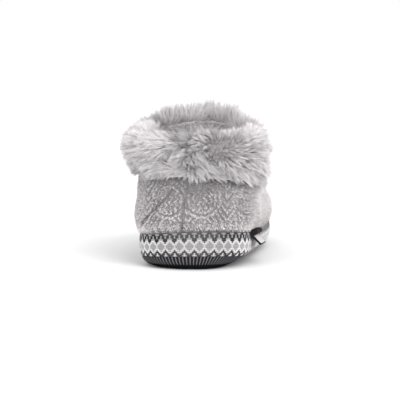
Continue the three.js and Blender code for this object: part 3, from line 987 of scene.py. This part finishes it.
def build_band():
    run = band_ring(0.5)
    length = run[-1] - run[0]
    across, rows = int(round(length / REPEAT_LENGTH)) * REPEAT, len(CHART)
    pitch = length / across
    turns = turn_at(run, FIRST_DIAMOND + np.arange(across) * pitch)
    rng = np.random.default_rng(5)
    points, faces, places = [], [], []
    for r, line in enumerate(CHART):
        share, reach = 1 - (r + 0.5) / rows, 1.0 / rows * STITCH_OVERLAP
        bottom, top = band_points(turns, share - reach), band_points(turns, share + reach)
        outward = level_normal(top)
        along = np.stack([-outward[:, 1], outward[:, 0], outward[:, 2]], -1)
        for c in range(across):
            spot = abs((c + REPEAT // 2) % REPEAT - REPEAT // 2)
            yarn, thick = YARNS[line[spot]], THICK[line[spot]]
            shake = rng.normal(0, 0.04, 3)
            for hand in (-1, 1):
                low = bottom[c] + along[c] * (hand * 0.15 * pitch + shake[0])
                high = top[c] + along[c] * (hand * 0.38 * pitch + shake[1])
                leg, around = stitch_leg(low, high, outward[c], thick * pitch, 0.03 * hand)
                start = len(points)
                points += leg
                for corners in around:
                    faces.append([start + k for k in corners])
                    # Faces at a leg's lower end take the low half of the map, where the shade is painted.
                    upper_half = 0.0 if 0 in corners else 0.5
                    places += [(yarn + u, upper_half + v) for u, v in LEG_MAP[: len(corners)]]
    stitches = mesh_object("band_stitches", placed(np.array(points)), faces, yarn_finish())
    face_out(stitches)
    layer = stitches.data.uv_layers.new(name=PILE_MAP)
    layer.data.foreach_set("uv", np.array(places, np.float32).ravel())

    # The band's cloth shows between the stitches; its grey is painted shade in the grooves.
    ground = cloth_finish("band ground", (0.3, 0.29, 0.295), (0.45, 0.435, 0.44), 1500.0, 0.5)
    fine = np.arange(320) / 320
    rings = [band_points(fine, share, -0.15) for share in (0, 0.12, 0.3, 0.5, 0.75, 0.93, 1)]
    rings += [band_points(fine, share, -5.0) for share in (1, 0.5, 0.2, 0)]
    cloth = loft("band_cloth", rings, ground)
    ride(stitches, "patterned_knit")
    ride(cloth, "patterned_knit", "knit_band")


# Sole: a ribbed cup with a plain grip cloth under it, and the insole

SOLE = table(
    "share inset tuck rise",
    (0, 13, 8, 0),
    (0.2, 8.5, 8.5, 0.08),
    (0.45, 4.5, 8.5, 0.3),
    (0.75, 1.8, 6.8, 0.62),
    (1, 0.6, 3, 1),
)
RIB_GAP = 3.1
RIB_POINTS = 8
RIB_FAN = 0.2  # how much the ribs close up towards the tread at the heel
SOLE_ROWS = 15
SOLE_THICKNESS, SOLE_RIM = 4, 4.6
INSOLE_EDGE = ((12.5, 0, 5.5), (9.6, 1.2, 4), (9, 3.4, 3.2), (9.8, 5.2, 2.8))  # inset, height and tuck


def sole_finish():
    """Raised pale ribs on near-black knit above; below, near-black grip cloth, darkened to all but black as
    painted shadow where the sole meets the floor.
    """
    made, graph, feed = material("ribbed sole knit", roughness=0.95, specular=0.05)
    ridge = graph.node("ShaderNodeAttribute", {"attribute_name": "ridge"})["Fac"]
    rise = graph.node("ShaderNodeAttribute", {"attribute_name": "rise"})["Fac"]
    place = graph.node("ShaderNodeTexCoord")["Object"]
    nap = graph.noise(place, 1100.0, 2.0)
    pale = ridge.range(0.3, 0.95) * (0.5 + nap)
    knit = graph.mix_colour(pale, (0.018, 0.017, 0.019), (0.16, 0.152, 0.162))
    cloth = graph.mix_colour(nap.range(0.35, 0.65), (0.003, 0.003, 0.003), (0.008, 0.008, 0.008))
    # Painted shadow: the lower part of the cup, up to rise 0.5 to 0.62, is all but black.
    feed("Base Color", graph.mix_colour(rise.range(0.5, 0.62), cloth, knit))
    feed("Normal", graph.dented(nap, 0.6, 0.4 * MM))
    return made


def build_sole():
    run = band_ring(0.0)
    length = run[-1] - run[0]
    columns = int(round(length / RIB_GAP)) * RIB_POINTS
    place = (np.arange(columns) / columns - 0.5) * length
    ridge = (0.5 + 0.5 * np.cos(2 * math.pi * np.arange(columns) / RIB_POINTS)) ** 3
    rings, ridges, rises = [], [], []
    for share in np.linspace(0, 1, SOLE_ROWS):
        inset, tuck, rise = (column(SOLE, key, share) for key in ("inset", "tuck", "rise"))
        height = lambda along, turn: mix(lift(along), edge(along, turn), rise)
        fan = RIB_FAN * (1 - share) * (1 - smooth(np.abs(place), 30, 75))
        turns = turn_at(run, place * (1 - fan))
        points = inset_ring(turns, inset, height, tuck)
        strength = 0.6 * smooth(share, 0.15, 0.35) * (1 - 0.5 * smooth(share, 0.9, 1.0))
        rings.append(points + level_normal(points) * (strength * (ridge - 0.8))[:, None])
        ridges.append(ridge * smooth(share, 0.1, 0.3))
        rises.append(np.full(columns, share))
    floor = lambda along, turn: lift(along) + SOLE_THICKNESS
    wall = lambda along, turn: mix(floor(along, turn), edge(along, turn), 0.4)
    inner = (SOLE_RIM, edge, 3), (SOLE_RIM + 2.2, wall, 5), (SOLE_RIM + 6.5, floor, 5.5)
    rings += [inset_ring(turns, *row) for row in inner]
    ridges += [np.zeros(columns)] * 3
    rises += [np.zeros(columns)] * 3
    sole = loft("sole_cup", rings, sole_finish(), is_loop=False, caps=True)
    give(sole, "ridge", np.concatenate(ridges))
    give(sole, "rise", np.concatenate(rises))
    ride(sole, "sole_textile", "outsole")

    fleece = cloth_finish("insole fleece", (0.4, 0.385, 0.39), (0.56, 0.54, 0.545), 380.0, 1.0)
    fine = np.arange(240) / 240
    rng = np.random.default_rng(3)

    def insole_ring(inset, up, tuck, shake=0.0):
        height = lambda along, turn: lift(along) + (SOLE_THICKNESS + GAP) + up
        points = inset_ring(fine, inset, height, tuck)
        points[:, 2] += rng.normal(0, shake, len(fine)) if shake else 0
        return points

    rings = [insole_ring(*row) for row in INSOLE_EDGE]
    for share in np.linspace(0, 1, 15):
        rings.append(insole_ring(11 + 29 * share, 5.7, 2.5 * (1 - share), 0.12))
    insole = loft("insole_pad", rings, fleece, is_loop=False, caps=True)
    ride(insole, "insole_fleece", "insole")


# Side tab: a folded ribbon sewn in the seam, blank

TAB_ALONG, TAB_LENGTH = 54.0, 26.0
# The ribbon's outline seen end on, from the seam: out from the band's plan and up from its seam, with the
# pale face of the hanging leaf marked 1.
TAB_OUTLINE = table(
    "out up pale",
    (-2.2, 0.2, 0),
    (-2.0, 2.0, 0),
    (0.2, 3.2, 0),
    (4.4, 3.7, 0),
    (5.9, 3.4, 0),
    (6.6, 2.3, 0),
    (6.4, 0.3, 0),
    (5.2, -0.7, 0),
    (3.0, -1.1, 0),
    (4.0, -2.3, 1),
    (6.2, -4.7, 1),
    (8.8, -7.3, 1),
    (9.6, -8.1, 0),
    (8.5, -9.2, 0),
    (6.0, -6.8, 0),
    (2.6, -3.6, 0),
    (0.2, -1.4, 0),
)


def build_tab():
    made, graph, feed = material("woven ribbon", roughness=0.8, specular=0.1)
    place = graph.node("ShaderNodeTexCoord")["Object"]
    parts = graph.node("ShaderNodeSeparateXYZ", {}, {"Vector": place})
    weave = (parts["Y"] * 9000.0).wave() * 0.5 + 0.5
    pale = graph.node("ShaderNodeAttribute", {"attribute_name": "pale"})["Fac"].range(0.4, 0.6)
    dark = graph.mix_colour(weave, (0.005, 0.004, 0.005), (0.018, 0.015, 0.018))
    light = graph.mix_colour(weave, (0.5, 0.485, 0.49), (0.6, 0.585, 0.59))
    feed("Base Color", graph.mix_colour(pale, dark, light))
    feed("Normal", graph.dented(weave, 0.4, 0.2 * MM))
    stations = 15
    count = len(TAB_OUTLINE["out"])
    points, pales = [], []
    for k in range(stations):
        y = TAB_ALONG + TAB_LENGTH * (k / (stations - 1) - 0.5)
        hinge = plan(y, "centre") + plan(y, "half") + 0.6
        seat = plan(y, "seam") + 1
        points += [(hinge + out, y, seat + up) for out, up in zip(TAB_OUTLINE["out"], TAB_OUTLINE["up"])]
        is_inside = 0 < k < stations - 1
        pales += [value * is_inside for value in TAB_OUTLINE["pale"]]
    faces = grid_faces(stations, count, False).tolist()
    faces += [list(range(count)), list(range((stations - 1) * count, stations * count))]
    tab = mesh_object("side_tab_ribbon", placed(np.array(points)), faces, made, is_smooth=False)
    face_out(tab)
    give(tab, "pale", pales)
    ride(tab, "woven_tab", "side_tab")


# Stage


def build_stage():
    floor_finish, _, feed = material("studio floor", roughness=1.0, specular=0.0)
    feed("Base Color", (0.78, 0.78, 0.78, 1))
    size = 6.0
    corners = [(x * size, y * size, 0) for x, y in ((-1, -1), (1, -1), (1, 1), (-1, 1))]
    floor = mesh_object("floor", corners, [[0, 1, 2, 3]], floor_finish, is_smooth=False)

    world = bpy.data.worlds.new("studio")
    world.use_nodes = True
    background = world.node_tree.nodes["Background"]
    background.inputs["Color"].default_value = (1.0, 1.0, 1.0, 1)
    background.inputs["Strength"].default_value = 1.0
    bpy.context.scene.world = world

    for name, towards, wide, power in (
        ("key", (0.6, -0.8, 0.65), 40, 2.1),
        ("top", (0.0, -0.25, 1.0), 50, 0.45),
        ("fill", (-0.3, -1.0, 0.25), 60, 1.4),
    ):
        lamp = bpy.data.lights.new(name, "SUN")
        lamp.angle, lamp.energy = math.radians(wide), power
        made = bpy.data.objects.new(name, lamp)
        made.rotation_euler = (-Vector(towards)).to_track_quat("-Z", "Y").to_euler()
        bpy.context.scene.collection.objects.link(made)

    # The photograph's viewpoint: behind the heel, a little to the outer side and above.
    azimuth, elevation, distance = math.radians(7), math.radians(6), 1.8
    level = math.cos(elevation)
    back = Vector((math.sin(azimuth) * level, -math.cos(azimuth) * level, math.sin(elevation)))
    right = Vector((math.cos(azimuth), math.sin(azimuth), 0))
    up = back.cross(right)
    pixel = 0.8 * MM
    aim = Vector((0, -0.1, 0.06)) + right * (8 * pixel) - up * (7 * pixel)
    lens = bpy.data.cameras.new("camera")
    lens.sensor_width = 36
    lens.lens = 36 * distance / (400 * pixel)
    lens.clip_start, lens.clip_end = 0.05, 50
    camera = bpy.data.objects.new("camera", lens)
    camera.location = aim + back * distance
    camera.rotation_mode = "QUATERNION"
    camera.rotation_quaternion = (-back).to_track_quat("-Z", "Y")
    bpy.context.scene.collection.objects.link(camera)
    bpy.context.scene.camera = camera
    bpy.context.scene.view_settings.view_transform = "Standard"


build_sole()
build_band()
build_upper()
build_cuff()
build_tab()
build_stage()

bpy.context.view_layer.update()
